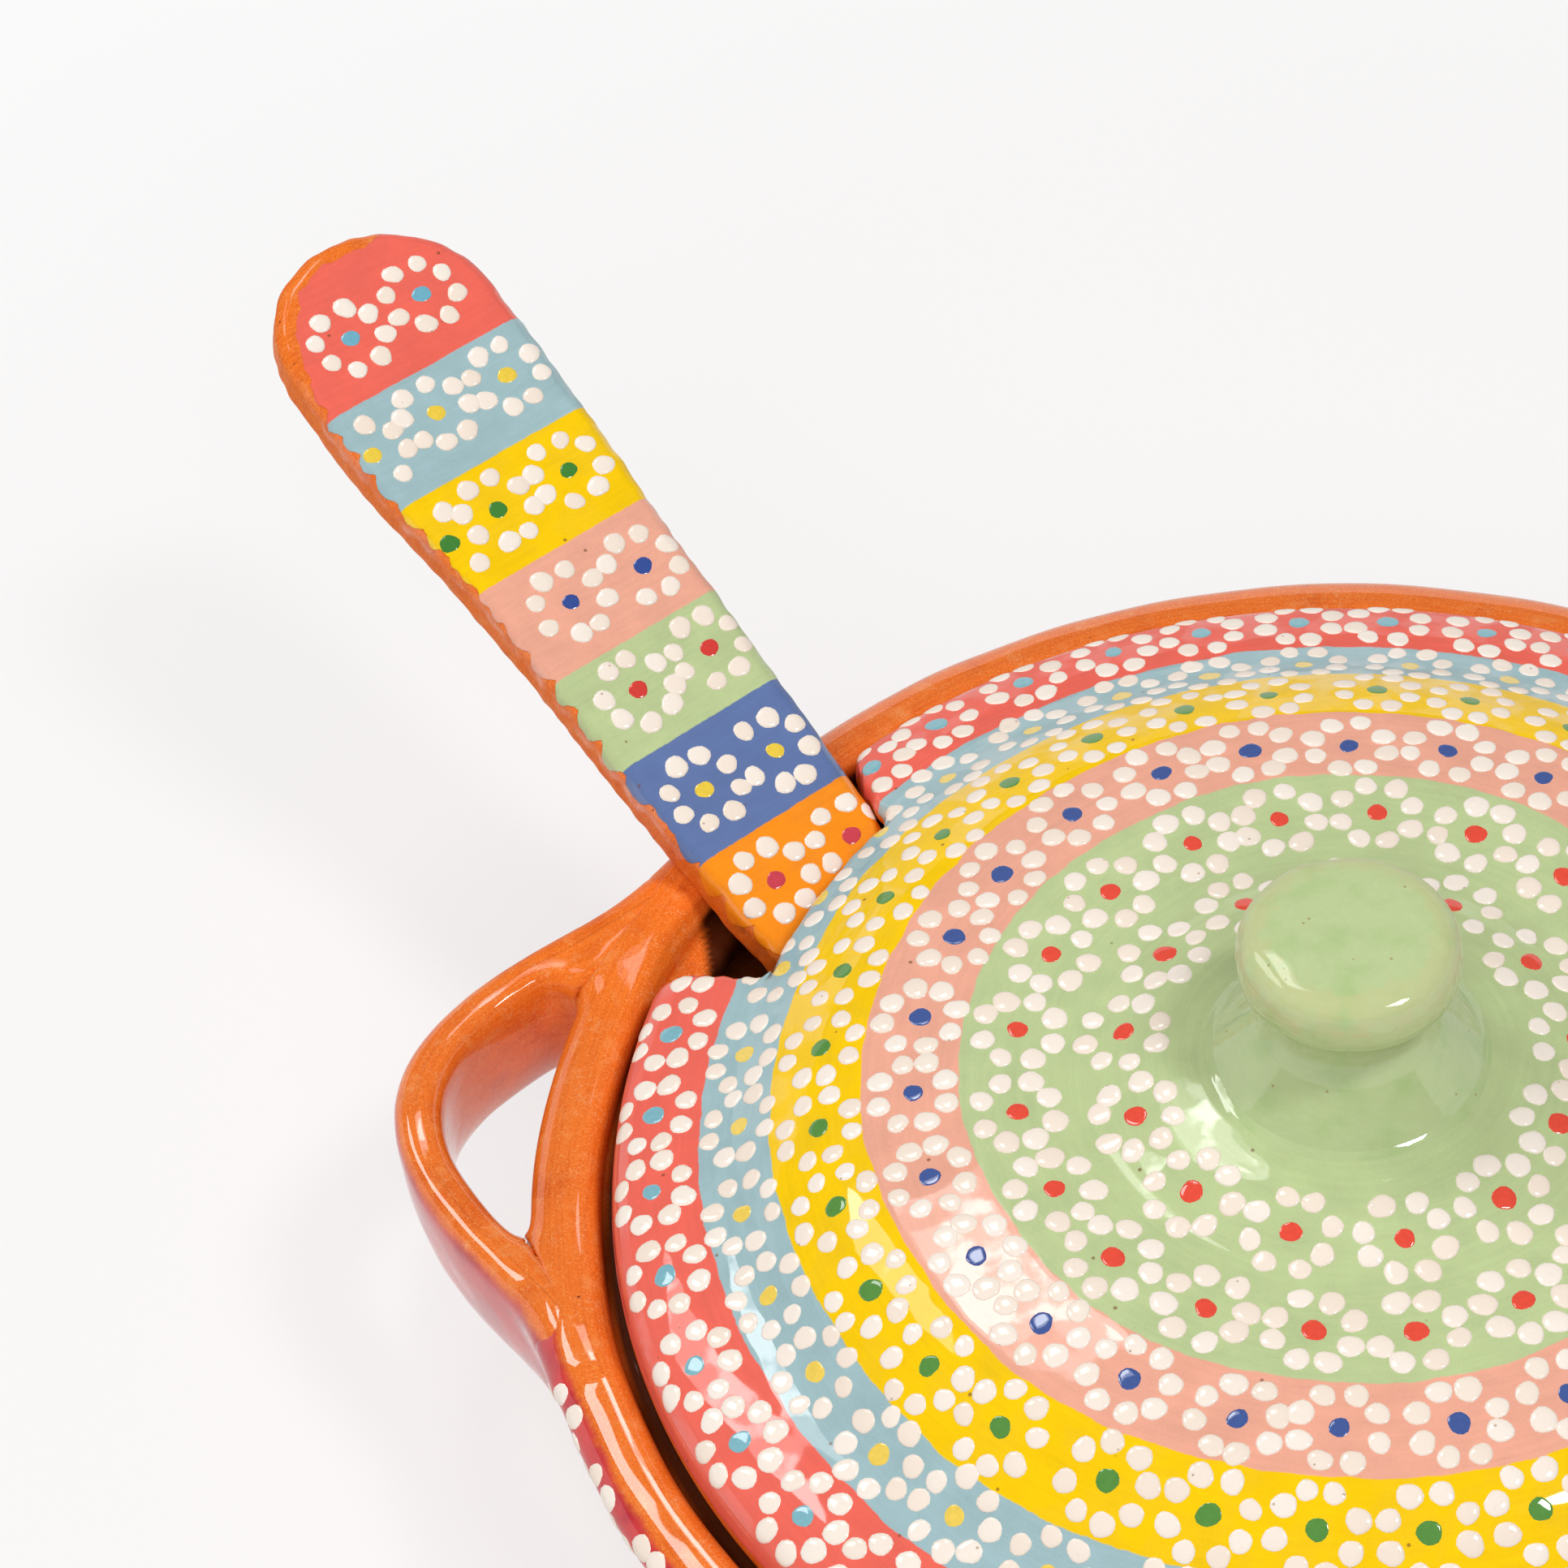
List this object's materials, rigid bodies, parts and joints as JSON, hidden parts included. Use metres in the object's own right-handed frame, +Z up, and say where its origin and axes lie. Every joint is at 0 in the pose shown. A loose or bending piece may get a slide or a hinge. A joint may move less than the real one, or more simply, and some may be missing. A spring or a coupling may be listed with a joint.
{
  "type": "lidded clay casserole with serving spoon",
  "caption": "Round shallow clay casserole with two strap handles, a low domed lid notched for a flat-handled serving spoon, painted with bands of dotted flowers.",
  "frame": {"origin": "centre of the flat base, on the surface the pot stands on", "axes": "+Z up along the pot's axis; the left handle lies towards -X and the spoon's handle points up and back towards -X +Y"},
  "size_m": [0.2944, 0.3039, 0.1103],
  "materials": {
    "pot_clay": "orange clay under a clear gloss glaze, crimson paint on the outside wall",
    "handle_clay": "orange clay under a clear gloss glaze, crimson paint on the outer face",
    "lid_paint": "bands of red, light blue, yellow, pink and green paint under a clear gloss glaze",
    "knob_paint": "green paint under a clear gloss glaze, thin at the edge",
    "spoon_paint": "seven painted bands on orange clay under a clear gloss glaze",
    "spoon_clay": "orange clay under a clear gloss glaze",
    "slip_dots": "cream and coloured slip dots, raised, under the glaze"
  },
  "bodies": {
    "pot": {"pot_body": "pot_clay", "left_handle": "handle_clay", "right_handle": "handle_clay"},
    "lid": {"lid_shell": "lid_paint", "lid_knob": "knob_paint"},
    "spoon": {"spoon_handle": "spoon_paint", "spoon_bowl": "spoon_clay"}
  },
  "joints": [
    {"name": "lid_lift", "type": "slide", "parent": "pot", "child": "lid", "axis": [0, 0, 1], "range_m": [0, 0.12]},
    {"name": "spoon_draw", "type": "slide", "parent": "pot", "child": "spoon", "axis": [-0.4852, 0.8012, 0.3502], "range_m": [0, 0.074]}
  ]
}
